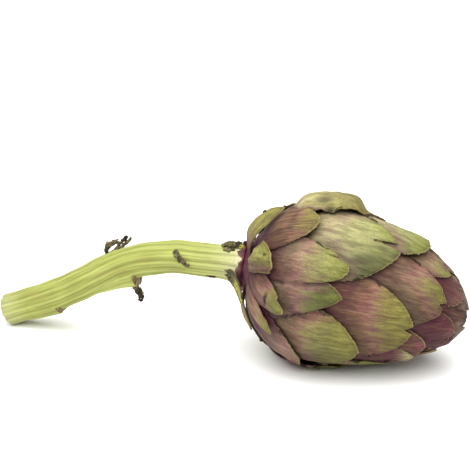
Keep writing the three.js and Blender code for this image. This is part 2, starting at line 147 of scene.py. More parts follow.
def unit(vectors):
    return vectors / np.maximum(np.linalg.norm(vectors, axis=-1, keepdims=True), 1e-9)


def bell(x):
    return np.exp(-(x ** 2))


def stacked(*parts):
    """Numbers, or rows, columns and grids of them, as one grid of vectors."""
    return np.stack(np.broadcast_arrays(*parts), axis=-1)


def gridded(rows, columns):
    """The row's number and the column's, at each place of the grid that they span."""
    return np.broadcast_arrays(rows[:, None], columns[None, :])


def pressed_flat(points):
    """Points in mm, with what would pass below the surface flattened just above it."""
    height = points[:, 2]
    pressed = FLOOR_SOFTNESS * np.exp(np.minimum(height / FLOOR_SOFTNESS - 1, 0))
    return np.column_stack((points[:, :2], np.where(height < FLOOR_SOFTNESS, pressed, height)))


def placed(name, data):
    """A new object in the scene."""
    made = bpy.data.objects.new(name, data)
    bpy.context.scene.collection.objects.link(made)
    return made


def mesh_piece(name, points, faces, material, attributes):
    """A smooth-shaded object. attributes maps a name to one number or three for each point."""
    points = pressed_flat(points.reshape(-1, 3)) * MM
    mesh = bpy.data.meshes.new(name)
    mesh.from_pydata(points.tolist(), [], faces)
    for key, values in attributes.items():
        values = np.ravel(values).astype(np.float32)
        kind, slot = ("FLOAT", "value") if len(values) == len(points) else ("FLOAT_VECTOR", "vector")
        mesh.attributes.new(key, kind, "POINT").data.foreach_set(slot, values)
    mesh.polygons.foreach_set("use_smooth", [True] * len(mesh.polygons))
    mesh.materials.append(material)
    mesh.validate()
    piece = placed(name, mesh)
    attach(piece, "root")
    return piece


def head_piece(*parts):
    piece = mesh_piece(*parts)
    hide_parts("head")
    return piece


def stem_piece(*parts):
    piece = mesh_piece(*parts)
    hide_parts("stem")
    return piece


def weld(piece):
    """Merges the points where a grid closes on itself."""
    shape = bmesh.new()
    shape.from_mesh(piece.data)
    bmesh.ops.remove_doubles(shape, verts=shape.verts, dist=WELD_DISTANCE * MM)
    bmesh.ops.recalc_face_normals(shape, faces=shape.faces)
    shape.to_mesh(piece.data)
    shape.free()


def grid_faces(rows, columns, start=0, flip=False):
    first = start + (np.arange(rows - 1)[:, None] * columns + np.arange(columns - 1)[None, :]).ravel()
    corners = (first, first + 1, first + columns + 1, first + columns)
    return np.column_stack(corners[::-1] if flip else corners).tolist()


def shell(outer, thickness):
    """Points and faces of a closed blade: the outer grid, an inner one below it and a round rim.

    Returns also which outer point each point belongs to and how far it lies under it, 0 to 1.
    """
    rows, columns = thickness.shape
    count = rows * columns
    normal = unit(np.cross(np.gradient(outer, axis=1), np.gradient(outer, axis=0)))
    inner = (outer - normal * thickness[..., None]).reshape(-1, 3)
    own = np.arange(count).reshape(rows, columns)
    rim = np.concatenate((own[0, :-1], own[:-1, -1], own[-1, :0:-1], own[:0:-1, 0]))
    inward = np.concatenate((own[1, :-1], own[:-1, -2], own[-2, :0:-1], own[:0:-1, 1]))
    outer = outer.reshape(-1, 3)
    away = unit(outer[rim] - outer[inward])
    bulge = away * thickness.ravel()[rim, None] * RIM_BULGE
    points = np.concatenate((outer, inner, (outer[rim] + inner[rim]) / 2 + bulge))
    faces = grid_faces(rows, columns) + grid_faces(rows, columns, count, flip=True)
    around = len(rim)
    for i in range(around):
        a, b = int(rim[i]), int(rim[(i + 1) % around])
        c, d = 2 * count + i, 2 * count + (i + 1) % around
        faces.append((b, a, c, d))
        faces.append((d, c, a + count, b + count))
    belongs = np.concatenate((own.ravel(), own.ravel(), rim))
    under = np.concatenate((np.zeros(count), np.ones(count), np.full(around, 0.5)))
    return points, faces, belongs, under


# ---- Materials ----
def shade(*srgb):
    """A colour given as it looks on a screen, 0 to 255, as the shader wants it."""
    part = [c / 255 for c in srgb]
    return [c / 12.92 if c < 0.04045 else ((c + 0.055) / 1.055) ** 2.4 for c in part] + [1.0]


class Shader:
    """A material's node tree, built by plain calls. Sockets are numbers or other nodes' outputs.

    colour is the colour so far, which paint and light work on.
    """

    def __init__(self, name):
        self.material = bpy.data.materials.new(name)
        self.material.use_nodes = True
        self.tree = self.material.node_tree
        self.surface = self.tree.nodes["Principled BSDF"]

    def put(self, socket, value):
        if isinstance(value, bpy.types.NodeSocket):
            self.tree.links.new(value, socket)
        else:
            socket.default_value = value

    def node(self, kind, sockets, output=0, **settings):
        made = self.tree.nodes.new(kind)
        for key, value in settings.items():
            setattr(made, key, value)
        for key, value in sockets.items():
            self.put(made.inputs[key], value)
        return made.outputs[output]

    def attribute(self, name):
        output = "Fac" if name in ("edge", "murk", "fresh") else "Vector"
        return self.node("ShaderNodeAttribute", {}, output, attribute_name=name)

    def place(self):
        return self.node("ShaderNodeTexCoord", {}, "Object")

    def parts(self, vector):
        made = self.tree.nodes.new("ShaderNodeSeparateXYZ")
        self.put(made.inputs[0], vector)
        return made.outputs

    def maths(self, operation, *values):
        return self.node("ShaderNodeMath", dict(enumerate(values)), operation=operation)

    def plus(self, first, second):
        return self.maths("ADD", first, second)

    def times(self, first, second):
        return self.maths("MULTIPLY", first, second)

    def scaled(self, value, factor, shift):
        return self.maths("MULTIPLY_ADD", value, factor, shift)

    def noise(self, vector, scale, detail=2.0, roughness=0.5):
        """scale is how many times as fine the noise is along each part of the vector."""
        spread = self.node("ShaderNodeVectorMath", {0: vector, 1: scale}, operation="MULTIPLY")
        sockets = {"Vector": spread, "Scale": 1.0, "Detail": detail, "Roughness": roughness}
        return self.node("ShaderNodeTexNoise", sockets, "Fac")

    def rise(self, value, start, end, low=0.0, high=1.0):
        sockets = {0: value, 1: start, 2: end, 3: low, 4: high}
        return self.node("ShaderNodeMapRange", sockets, interpolation_type="SMOOTHSTEP")

    def mix(self, share, first, second, blend="MIX"):
        sockets = {0: share, 6: first, 7: second}
        return self.node("ShaderNodeMix", sockets, 2, data_type="RGBA", blend_type=blend)

    def paint(self, share, colour):
        self.colour = self.mix(share, self.colour, colour)

    def light(self, light):
        self.colour = self.mix(1.0, self.colour, light, "MULTIPLY")

    def ramp(self, value, stops):
        made = self.tree.nodes.new("ShaderNodeValToRGB")
        self.put(made.inputs[0], value)
        colours = made.color_ramp
        while len(colours.elements) < len(stops):
            colours.elements.new(0.5)
        for element, (place, colour) in zip(colours.elements, stops):
            element.position = place
            element.color = colour
        return made.outputs[0]

    def bump(self, height, depth, normal=None):
        """depth is in millimetres."""
        sockets = {"Height": height, "Distance": depth * MM, "Strength": 1.0}
        if normal is not None:
            sockets["Normal"] = normal
        return self.node("ShaderNodeBump", sockets)

    def finish(self, normal, **constants):
        self.put(self.surface.inputs["Base Color"], self.colour)
        self.put(self.surface.inputs["Normal"], normal)
        for key, value in constants.items():
            self.surface.inputs[key.replace("_", " ")].default_value = value
        return self.material


def bract_skin():
    """Velvety bract: violet where it was covered, grey bloom, green tip, fibres and a pale rim.

    skin: mm across and along the bract, and its number. tone: how green, how pale with bloom and
    how dried. edge: mm to the margin. murk: how much light is taken off, by real stains and by painted
    shade beside overlying margins, on hidden faces and on the lower margin.
    """
    s = Shader("bract_skin")
    skin = s.attribute("skin")
    green, bloom, dried = s.parts(s.attribute("tone"))
    edge = s.attribute("edge")
    fibres = s.noise(skin, (1.15, 0.085, 3.1), 3, 0.6)
    fine_fibres = s.noise(skin, (3.2, 0.22, 1.7))
    blotches = s.noise(skin, (0.17, 0.10, 2.3), 3, 0.6)
    patches = s.noise(skin, (0.42, 0.11, 7.1), 3, 0.55)
    grain = s.noise(skin, (1.5, 0.95, 5.3), 3, 0.65)
    down = s.noise(skin, (3.6, 2.6, 2.9))

    wander = s.scaled(blotches, 0.6, -0.3)
    streak = s.scaled(fibres, 0.34, -0.17)
    mottle = s.scaled(grain, 0.16, s.scaled(patches, 0.5, -0.33))
    tone = s.plus(s.plus(green, mottle), s.plus(wander, streak))
    s.colour = s.ramp(tone, (
        (0.00, shade(72, 4, 42)),
        (0.20, shade(104, 22, 62)),
        (0.38, shade(112, 58, 76)),
        (0.56, shade(104, 82, 54)),
        (0.76, shade(84, 90, 28)),
        (1.00, shade(106, 114, 30)),
    ))
    pale = s.times(bloom, s.rise(patches, 0.32, 0.64, 0.6, 1.0))
    s.paint(pale, shade(192, 186, 132))
    straw = s.mix(s.rise(fibres, 0.4, 0.6), shade(112, 82, 50), shade(156, 134, 76))
    s.paint(s.times(dried, s.rise(blotches, 0.3, 0.55, 0.5, 1.0)), straw)
    bruise = s.times(dried, s.rise(grain, 0.56, 0.64))
    s.paint(s.times(bruise, 0.7), shade(78, 48, 34))

    lines = s.rise(fine_fibres, 0.40, 0.62, 0.82, 1.08)
    velvet = s.rise(down, 0.36, 0.64, 0.80, 1.16)
    shadowed = s.rise(patches, 0.36, 0.60, 0.88, 1.05)
    s.light(s.times(s.times(lines, velvet), shadowed))
    worn = s.times(s.rise(edge, 3.0, 0.4), s.rise(blotches, 0.4, 0.6, 0.1, 0.42))
    s.paint(worn, shade(66, 50, 30))
    # Painted shade and real stains, carried on the mesh, darken the colour.
    s.light(s.maths("SUBTRACT", 1.0, s.attribute("murk")))
    flecks = s.rise(grain, 0.60, 0.70, 0.0, 0.5)
    s.paint(flecks, shade(84, 58, 42))
    rim_width = s.rise(grain, 0.35, 0.65, 0.25, 0.75)
    rim = s.maths("SUBTRACT", 1.0, s.rise(edge, 0.0, rim_width))
    s.paint(s.times(rim, 0.5), shade(156, 140, 86))

    height = s.scaled(fibres, 0.7, s.times(grain, 0.3))
    normal = s.bump(fine_fibres, 0.05, s.bump(height, 0.28))
    return s.finish(
        normal, Roughness=0.62, Specular_IOR_Level=0.18, Sheen_Weight=0.03,
        Sheen_Roughness=0.45, Sheen_Tint=(1.0, 0.97, 0.92, 1.0),
    )


def core_skin():
    """The violet floor of the gaps between bracts, its dark violet partly the inner bracts' own colour
    and partly painted shade in the gaps.
    """
    s = Shader("core_skin")
    mottle = s.noise(s.place(), (300, 300, 300), 3)
    s.colour = s.ramp(mottle, ((0.3, shade(66, 30, 42)), (0.7, shade(104, 60, 70))))
    return s.finish(s.bump(mottle, 0.3), Roughness=0.7, Specular_IOR_Level=0.3)


def stem_skin():
    """Ribbed pale green stem with darker furrows, brown flecks and scars.

    skin: mm round and along the stem. tone: how furrowed, how pale and how scarred.
    """
    s = Shader("stem_skin")
    skin = s.attribute("skin")
    furrow, pale, scar = s.parts(s.attribute("tone"))
    fibres = s.noise(skin, (1.3, 0.035, 1.0), 3, 0.6)
    fine_fibres = s.noise(skin, (2.6, 0.07, 1.0), 3, 0.6)
    patches = s.noise(skin, (0.12, 0.05, 1.0))
    grain = s.noise(skin, (1.3, 0.9, 1.0), 3, 0.6)

    line = s.plus(s.times(furrow, 0.3), s.scaled(fibres, 0.7, -0.07))
    s.colour = s.ramp(s.plus(line, s.scaled(patches, 0.5, -0.25)), (
        (0.10, shade(178, 180, 110)),
        (0.35, shade(154, 160, 82)),
        (0.60, shade(126, 132, 62)),
        (0.85, shade(88, 98, 40)),
    ))
    s.light(s.rise(fine_fibres, 0.35, 0.62, 0.80, 1.05))
    fuzz = s.times(pale, s.rise(grain, 0.35, 0.6, 0.6, 1.1))
    s.paint(fuzz, shade(196, 190, 158))
    tanned = s.times(s.rise(patches, 0.5, 0.75, 0.0, 0.6), s.rise(fibres, 0.4, 0.6))
    s.paint(tanned, shade(158, 142, 88))
    flecks = s.rise(grain, 0.62, 0.72, 0.0, 0.6)
    s.paint(flecks, shade(112, 98, 56))
    cut = s.ramp(grain, (
        (0.35, shade(58, 48, 34)),
        (0.52, shade(110, 96, 62)),
        (0.70, shade(166, 148, 104)),
    ))
    s.paint(s.rise(s.scaled(grain, 0.5, scar), 0.55, 0.85), cut)
    height = s.scaled(fibres, 0.8, s.times(grain, 0.2))
    return s.finish(
        s.bump(height, 0.3), Roughness=0.6, Specular_IOR_Level=0.22, Sheen_Weight=0.03,
        Sheen_Roughness=0.5,
    )


def dry_skin():
    """Withered leaf remains. fresh runs from -1, blackened, over 0, dry, to 1, still green."""
    s = Shader("dry_skin")
    place = s.place()
    lumps = s.noise(place, (700, 700, 700), 3, 0.6)
    grain = s.noise(place, (2600, 2600, 2600))
    s.colour = s.ramp(s.scaled(grain, 0.4, s.times(lumps, 0.7)), (
        (0.40, shade(34, 28, 20)),
        (0.52, shade(78, 70, 48)),
        (0.64, shade(112, 106, 66)),
        (0.76, shade(156, 142, 104)),
    ))
    leaf = s.mix(s.rise(lumps, 0.3, 0.6), shade(104, 106, 34), shade(166, 158, 66))
    fresh = s.attribute("fresh")
    s.paint(s.rise(fresh, 0.0, 1.0), leaf)
    s.paint(s.rise(fresh, 0.0, -1.0, 0.0, 0.85), shade(34, 24, 20))
    return s.finish(s.bump(lumps, 0.6), Roughness=0.75, Specular_IOR_Level=0.25)


def floor_skin():
    s = Shader("floor_skin")
    mottle = s.noise(s.place(), (40, 40, 40))
    s.colour = s.ramp(mottle, ((0.3, shade(250, 250, 248)), (0.7, shade(253, 253, 251))))
    return s.finish(s.bump(mottle, 0.05), Roughness=0.8, Specular_IOR_Level=0.1)


# ---- The head's outer form ----
def head_outline():
    """[x, radius] along half a section: a quarter ellipse, then a fuller curve to the tip."""
    turn = np.linspace(0, math.pi / 2, 201)[:, None]
    base = np.hstack((HEAD_LENGTH * WIDEST_AT * (1 - np.cos(turn)), HEAD_RADIUS * np.sin(turn)))
    turn = turn[1:]
    forward = np.sin(turn) ** (2 / NOSE_TAPER)
    nose_x = HEAD_LENGTH * (WIDEST_AT + (1 - WIDEST_AT) * forward)
    nose_radius = HEAD_RADIUS * np.clip(np.cos(turn), 0, 1) ** (2 / NOSE_ROUNDNESS)
    return np.vstack((base, np.hstack((nose_x, nose_radius))))


OUTLINE = head_outline()
OUTLINE_ARC = np.concatenate(([0], np.cumsum(np.linalg.norm(np.diff(OUTLINE, axis=0), axis=1))))
ARC_LENGTH = OUTLINE_ARC[-1]


def arc_at(x):
    return np.interp(x, OUTLINE[:, 0], OUTLINE_ARC)


def outline_at(arc):
    return np.interp(arc, OUTLINE_ARC, OUTLINE[:, 0]), np.interp(arc, OUTLINE_ARC, OUTLINE[:, 1])


def outline_direction(arc):
    """[along, outward] parts of the outline's direction there."""
    x0, r0 = outline_at(np.clip(arc - 0.6, 0.3, ARC_LENGTH - 0.5))
    x1, r1 = outline_at(np.clip(arc + 0.6, 0.5, ARC_LENGTH - 0.1))
    size = np.hypot(x1 - x0, r1 - r0)
    return (x1 - x0) / size, (r1 - r0) / size


def from_head(points):
    """Head coordinates to the object's: the axis starts at the stem joint, dips and droops."""
    x, y, z = points[..., 0], points[..., 1], points[..., 2]
    past = np.clip((x - DROOP_START) / (HEAD_LENGTH - DROOP_START), 0, None)
    z = z - NOSE_DROOP * past ** 1.5
    c, s = math.cos(HEAD_DIP), math.sin(HEAD_DIP)
    return stacked(c * x + s * z, y, c * z - s * x) + JUNCTION


# ---- Bracts ----
# Each row gives az, degrees round the axis, 0 at the top and 90 at the front, tip, its distance
# along the axis, length and half, the half width. lift: how far the whole blade stands proud.
# layer: mm that it sinks for each mm back from its tip. dive: how much deeper its root goes.
# lean: how far the tip bends out, between lean_from and lean_to. hump: an arch in the middle.
# slant: degrees that the root is turned from the tip. tilt: how far one margin stands over the
# other. cup: how wide its bend across is, next to the head's own. fold: depth of a crease down it.
# root_width: the root's share of the full width. wide_at: where the blade is widest.
# full: how long it stays wide. blunt: lower is a rounder tip. swell: how puffed its middle is.
# notch: depth of a split in the tip, at notch_at across. ragged: how uneven the margins are.
# green and violet: mm back from the tip where the green ends and where the violet starts.
# low_violet: how much more violet the lower margin is. bloom, dried: how strong each is.
# murk: how much darker the lower margin is, partly its own colour and partly painted shade.
# stains: (place along, place across, half size along, half size across, how dark, mm deep).
PLAIN = dict(
    lift=0, layer=0.06, dive=5, lean=0.5, lean_from=0.55, lean_to=1, hump=0, slant=0,
    tilt=0, cup=1, fold=0, root_width=0.55, wide_at=0.5, full=2, blunt=0.6, swell=0, notch=0,
    notch_at=0, notch_width=0.14, ragged=0.03, green=10, violet=40, low_violet=0.2, bloom=0.25,
    dried=0, murk=0.1, stains=(),
)
STAIN_DARK, STAIN_DEEP = 4, 5  # places in a stain's row


def bract(name, az, tip, length, half, **others):
    """A bract's row, with the plain values where none are given."""
    return Row(name=name, az=az, tip=tip, length=length, half=half, **PLAIN | others)


OUTERMOST = dict(layer=0.04, dive=1.5, lean=1.6, lean_from=0, lean_to=0.6, root_width=0.6)

FRONT_BRACTS = (
    # small outermost scales round the stem
    bract("upper_scale", 91, 28, 35, 7.5, lift=0.9, slant=-20, full=1.7, fold=1.8, notch=2.5,
          notch_at=-0.5, notch_width=0.2, green=6, violet=20, bloom=0.2, dried=0.2, murk=0.25,
          stains=((0.7, 0.15, 0.028, 0.45, 0.75, 0.6),), **OUTERMOST),
    bract("lower_scale", 112, 24, 32, 5.5, lift=0.7, slant=-20, full=1.5, blunt=0.7, fold=0.8, green=5,
          violet=20, low_violet=0.15, bloom=0.3, dried=0.35, **OUTERMOST),
    bract("hanging_scale", 124, 14.5, 20, 3, lift=1.6, slant=-14, full=1.6, green=4, violet=14,
          bloom=0.2, dried=0.5, **OUTERMOST | dict(lean=1.2)),
    bract("claw", 4, 17, 27, 3.9, lift=0.8, layer=0, hump=3.3, dive=2, slant=32, tilt=-1.9,
          root_width=0.9, full=1.5, green=14, violet=24, bloom=0.3, dried=0.4),
    # first full ring
    bract("shoulder", 24, 35, 46, 14, lift=0.3, layer=0.03, lean=0.6, dive=2, slant=-4, root_width=0.75,
          full=2.2, blunt=0.62, green=0, violet=24, low_violet=0.3, bloom=0.15, dried=0.5, murk=0.25,
          stains=((0.7, -0.1, 0.05, 0.5, 0.3, 0.3), (0.55, 0.3, 0.3, 0.12, 0.25, 0.2))),
    bract("dried", -11, 55.5, 50, 15.5, lift=4.6, lean=-5.5, lean_from=0.8, dive=10, cup=0.42, full=2.2,
          root_width=0.5, swell=1.2, green=20, violet=52, low_violet=0, bloom=0.95, dried=0.55,
          stains=((0.64, 0.95, 0.05, 0.14, 0.8, 1.8), (0.56, 0.55, 0.09, 0.2, 0.6, 0.8),
                  (0.72, 0.15, 0.28, 0.22, 0.3, 0.4))),
    bract("side_high", 54.5, 53, 62, 11.6, lift=0.4, layer=0.04, lean=0.8, dive=2.5, slant=-4, full=1.6,
          blunt=0.5, notch=3, notch_at=-0.5, notch_width=0.2, green=12, violet=30, low_violet=0,
          bloom=0.4, dried=0.15, murk=0.2, stains=((0.9, -0.5, 0.08, 0.05, 0.5, 0.5),)),
    bract("side_low", 73, 53, 62, 18, layer=0.04, lean=0.8, dive=2.5, slant=5, wide_at=0.4, full=1.1,
          blunt=0.75, green=14, violet=38, low_violet=0.3, bloom=0.3, murk=0.3,
          stains=((0.92, 0.1, 0.22, 0.7, 0.3, 0),)),
    bract("lower_back", 142, 38, 54, 24, layer=0.03, dive=2, full=2.5, blunt=0.5, root_width=0.75,
          green=-6, violet=16, low_violet=0, bloom=0.3),
    # broad middle bracts
    bract("belly", 116, 64.5, 72, 22.5, lean=0.9, dive=2, full=3.5, blunt=0.85, violet=54, low_violet=0,
          bloom=0.3, dried=0.35, murk=0.5),
    # The crown's strong bloom is partly its own pale bloom and partly a painted highlight on the head's
    # top.
    bract("crown", 28, 74, 60, 23.5, lift=0.3, lean=0.9, blunt=0.75, notch=13, notch_at=-0.18,
          notch_width=0.11, green=22, violet=48, low_violet=0.05, bloom=0.75, murk=0.5,
          stains=((0.8, 0.55, 0.16, 0.4, 0.22, 0),)),
    bract("sole", 180, 63, 64, 24, lift=0.6, layer=0.02, lean=0, hump=1.2, dive=4, root_width=0.6),
    bract("cheek", 91, 87, 66, 23, lean=1.0, blunt=0.65, notch=5, notch_at=0.02, notch_width=0.1,
          violet=31, low_violet=0.24, bloom=0.15, dried=0.45, murk=0.36),
    bract("crest", -3, 86, 60, 20, lift=0.4, lean=2.2, full=2.4, blunt=0.42, violet=44, low_violet=0,
          bloom=0.7, murk=0.3),
    bract("jowl", 140, 90, 60, 20, lift=-0.6, layer=0.07, full=2.2, green=-4, violet=2, bloom=0.9,
          dried=0.1, murk=0),
    # narrower bracts that close the tip
    bract("nose_side", 57, 99.5, 70, 19, lean=0.9, notch=3.5, notch_at=0.05, notch_width=0.1, green=2,
          violet=30, low_violet=0.85, dried=0.3, murk=0.5),
    bract("nose_top", 7, 99, 56, 15, lift=-0.9, lean=0.8, green=8, violet=24, low_violet=0.1, bloom=0.35,
          dried=0.2),
    bract("nose_under", 116, 94, 54, 16, lift=-0.4, lean=0.7, blunt=0.55, green=-12, violet=10,
          low_violet=0.1, bloom=0, dried=0.3, murk=0.25),
    bract("nose_low", 98, 105.5, 56, 14, lift=-0.2, lean=0.6, full=2.5, blunt=0.5, green=-18, violet=2,
          low_violet=0.1, bloom=0, dried=0.15, murk=0.35),
    bract("nose_high", 31, 107, 56, 14, lift=-0.3, lean=0, green=-6, violet=8, low_violet=0.6, bloom=0.1,
          dried=0.1),
    bract("nose_keel", 128, 107, 52, 13, lift=-0.5, lean=0, green=-18, violet=4, bloom=0),
    bract("nose_tip", 66, 110.5, 50, 12, lift=-0.4, lean=0, full=2.5, blunt=0.5, green=-16, violet=4,
          bloom=0, dried=0.35, murk=0.35, stains=((0.97, 0.1, 0.04, 0.8, 0.5, 0.2),)),
    bract("nose_back", -10, 107, 52, 12, lift=-1.2, lean=0, green=-2, violet=12),
)

# The folded scale's size and looks, and its flap: (across, x along the head, degrees, height) down
# each side.
FOLDED_SCALE = Row(
    name="folded_scale", length=26, half=8, swell=0, green=12, violet=40, low_violet=1.1, bloom=0.6,
    dried=0.3, murk=0.25, stains=((0.86, -0.38, 0.05, 0.1, 0.7, 0), (0.7, 0.3, 0.3, 0.4, 0.25, 0)),
)
FLAP_ROOT = np.array(((-1, 7.0, 46, 1.2), (-0.1, 4.8, 57, 1.1), (1, 6.6, 71, 1.2)))
FLAP_END = np.array(((-1, 12.0, 40, 1.6), (-0.45, 18.0, 53, 1.8), (0.2, 20.0, 63, 1.8),
                     (1, 17.6, 67, 1.7)))
FLAP_CREASE = -0.05
FLAP_ARCH = 2.4
FLAP_SINK = 0.8  # how deep its root lies under the height in its row

# Rings that go on round the back and underneath: count bracts each, from start to end degrees.
BACK_RINGS = (
    dict(tip=23, length=35, half=13, start=172, end=314, count=5, layer=0.04, lift=0.9, dive=1.5,
         root_width=0.8, green=8, violet=24),
    dict(tip=44, length=56, half=18, start=200, end=334, count=4, layer=0.05, lift=0.5, dive=2.5,
         root_width=0.75, violet=30),
    dict(tip=63, length=66, half=22, start=224, end=312, count=3, layer=0.05, lift=0.2, dive=3, green=14,
         violet=42),
    dict(tip=78, length=60, half=22, start=168, end=314, count=5, lean=0.2, green=12),
    dict(tip=92, length=58, half=20, start=186, end=310, count=4, lean=0.3, green=6, violet=30),
    dict(tip=101, length=54, half=16, start=164, end=332, count=5, lift=-0.3, lean=0.1, green=-2,
         violet=16),
    dict(tip=107, length=50, half=13, start=184, end=308, count=4, lift=-0.4, lean=0, green=-6,
         violet=12),
    dict(tip=110.9, length=46, half=11, start=20, end=308, count=5, lift=-0.5, lean=0, green=-8,
         violet=8),
)
RING_TURN_JITTER = 4  # degrees
RING_TIP_JITTER = 2  # mm
RING_JITTER_FADE = 8  # mm from the head's tip where the tips start to be moved less
RING_BLUNT_JITTER = 0.12


def back_bracts():
    for ring_index, ring in enumerate(BACK_RINGS):
        step = (ring["end"] - ring["start"]) / (ring["count"] - 1)
        room = min(1, (HEAD_LENGTH - ring["tip"]) / RING_JITTER_FADE)
        for i in range(ring["count"]):
            seed = 10 * ring_index + i + 1
            yield bract(f"ring_{ring_index + 1}_{i + 1}", **ring | dict(
                az=ring["start"] + step * i + RING_TURN_JITTER * jitter(seed),
                tip=ring["tip"] + RING_TIP_JITTER * room * jitter(seed + 0.5),
                blunt=PLAIN["blunt"] + RING_BLUNT_JITTER * jitter(seed + 0.25),
            ))


def blade_width(b, reach):
    """Half width as a share of the widest, at a share of the blade's length."""
    opening = np.sin((math.pi / 2) * np.clip(reach / b.wide_at, 0, 1))
    closing = np.clip((reach - b.wide_at) / (1 - b.wide_at), 0, 1)
    root = b.root_width + (1 - b.root_width) * opening
    return np.where(reach < b.wide_at, root, (1 - closing ** b.full) ** b.blunt)


def bract_surface(b, along, across):
    """Outer face over a grid of along (0 root, 1 tip) and across (-1 to 1), in head coordinates.

    The last row of the grid runs round the tip: it starts on both margins halfway between the
    widest place and the tip. Returns also each point's share of the length and its half width.
    """
    row_start = b.wide_at + 0.5 * (1 - b.wide_at)
    row_width = (1 - 0.5 ** b.full) ** b.blunt
    inside = (1 - (np.abs(across) * row_width) ** (1 / b.blunt)) ** (1 / b.full)
    end = b.wide_at + (1 - b.wide_at) * inside
    in_notch = np.clip(1 - np.abs(across - b.notch_at) / b.notch_width, 0, 1)
    split = (b.notch / b.length) * in_notch ** 0.8
    worn = b.ragged * 0.35 * ripple(across * b.half / 6, 0, b.az + 2.7) * along ** 6
    reach = along * end * (1 - split * along ** 3) * (1 - np.abs(worn))
    back = (1 - reach) * b.length
    arc = np.clip(arc_at(b.tip) - back, 0.5, ARC_LENGTH - 0.3)
    x, radius = outline_at(arc)
    forward, outward = outline_direction(arc)
    az = np.radians(b.az + b.slant * (1 - reach))
    radial = stacked(0, -np.sin(az), np.cos(az))
    side = stacked(0, -np.cos(az), -np.sin(az))
    normal = radial * forward[..., None]
    normal[..., 0] = -outward

    height = (
        b.lift - b.layer * back + b.hump * np.sin(math.pi * reach)
        + b.lean * smooth(reach, b.lean_from, b.lean_to) ** 1.3
        - b.dive * smooth(1 - reach, 0.6, 1)
    )
    frayed = ripple(along * b.length / 9, np.sign(across) * 1.7, b.az + b.tip + 6.1)
    width = blade_width(b, along * row_start)
    half_width = b.half * width * (1 + b.ragged * frayed * np.abs(across) ** 3)
    bend = np.clip(radius / np.clip(forward, 0.25, 1), 12, 60) * b.cup + height
    turn = across * half_width / bend
    out = height + relief(b, reach, across, half_width) - bend * (1 - np.cos(turn))
    points = stacked(x, 0, 0) + radial * radius[..., None]
    points += normal * out[..., None]
    points += side * (bend * np.sin(turn))[..., None]
    return points, reach, half_width


def relief(b, reach, across, half_width):
    """Relief on a bract in mm: curled margins, a soft midrib, creases and uneven waves."""
    free = smooth(reach, 0.25, 0.85)
    sideways = across * half_width
    margins = -MARGIN_HUG * np.abs(across) ** 3 * free
    midrib = MIDRIB_HEIGHT * bell(sideways / MIDRIB_WIDTH) * smooth(reach, 0.4, 0.95)
    seed = b.az + b.tip
    waves = ripple(sideways / WAVE_WIDTH, reach * b.length / WAVE_LENGTH, seed)
    dents = ripple(sideways / DENT_WIDTH, reach * b.length / DENT_LENGTH, seed + 3.3)
    veins = np.cos(2 * math.pi * (across * b.half / VEIN_SPACING + 0.3 * waves))
    swollen = b.swell * np.cos(math.pi / 2 * across) * free
    folded = -b.fold * np.abs(across - 0.1) * smooth(reach, 0.1, 0.5)
    uneven = WAVE_HEIGHT * waves + DENT_HEIGHT * dents + VEIN_HEIGHT * veins
    even = margins + midrib + swollen + folded + b.tilt * across
    return even + free * uneven - stained(b, reach, across, STAIN_DEEP)


def stained(b, reach, across, what):
    """Sum of a bract's stains: how dark or how deep each place is."""
    total = np.zeros_like(reach)
    for stain in b.stains:
        spread = ((reach - stain[0]) / stain[2]) ** 2 + ((across - stain[1]) / stain[3]) ** 2
        total = total + stain[what] * np.exp(-spread ** 1.5)
    return total


def bract_tone(b, reach, across):
    """[green, bloom, dried] at each point."""
    back = (1 - reach) * b.length
    green = 1.03 - smooth(back, b.green - 8, b.violet + 6)
    green = green - b.low_violet * smooth(across, -0.4, 1.0)
    middle = bell((back - 0.6 * b.violet) / (0.4 * b.violet + 4))
    bloom = b.bloom * middle * (1 - 0.6 * across ** 2)
    return stacked(green, bloom, b.dried * smooth(back, b.length, 4))


def spread_columns(b, count):
    """Places across a bract, closer together at its margins and at the split in its tip."""
    even = np.linspace(-1, 1, count)
    columns = np.sign(even) * (1 - (1 - np.abs(even)) ** 1.35)
    if b.notch > 0:
        near = b.notch_at + b.notch_width * np.linspace(-1.1, 1.1, NOTCH_COLUMNS)
        away = np.abs(columns - b.notch_at) > 1.2 * b.notch_width
        columns = np.sort(np.concatenate((columns[away], near)))
    return columns


# outer: the outer face. proud: how far it stands out from the head's outline. margin: the points
# and the proud values along its free margin.
Grid = namedtuple("Grid", "bract along across reach half_width outer proud margin")


def along_margin(values, first_row=0):
    """The values of a bract's grid that lie on its margin, from first_row on."""
    return np.concatenate((values[first_row:, 0], values[first_row:, -1], values[-1]))


def bract_grid(b, rows, columns):
    along = 1 - (1 - np.linspace(0, 1, rows)) ** 1.4
    along, across = gridded(along, spread_columns(b, columns))
    points, reach, half_width = bract_surface(b, along, across)
    proud = np.hypot(points[..., 1], points[..., 2]) - np.interp(points[..., 0], *OUTLINE.T)
    outer = from_head(points)
    free = int(0.3 * rows)
    margin = along_margin(outer, free), along_margin(proud, free)
    return Grid(b, along, across, reach, half_width, outer, proud, margin)


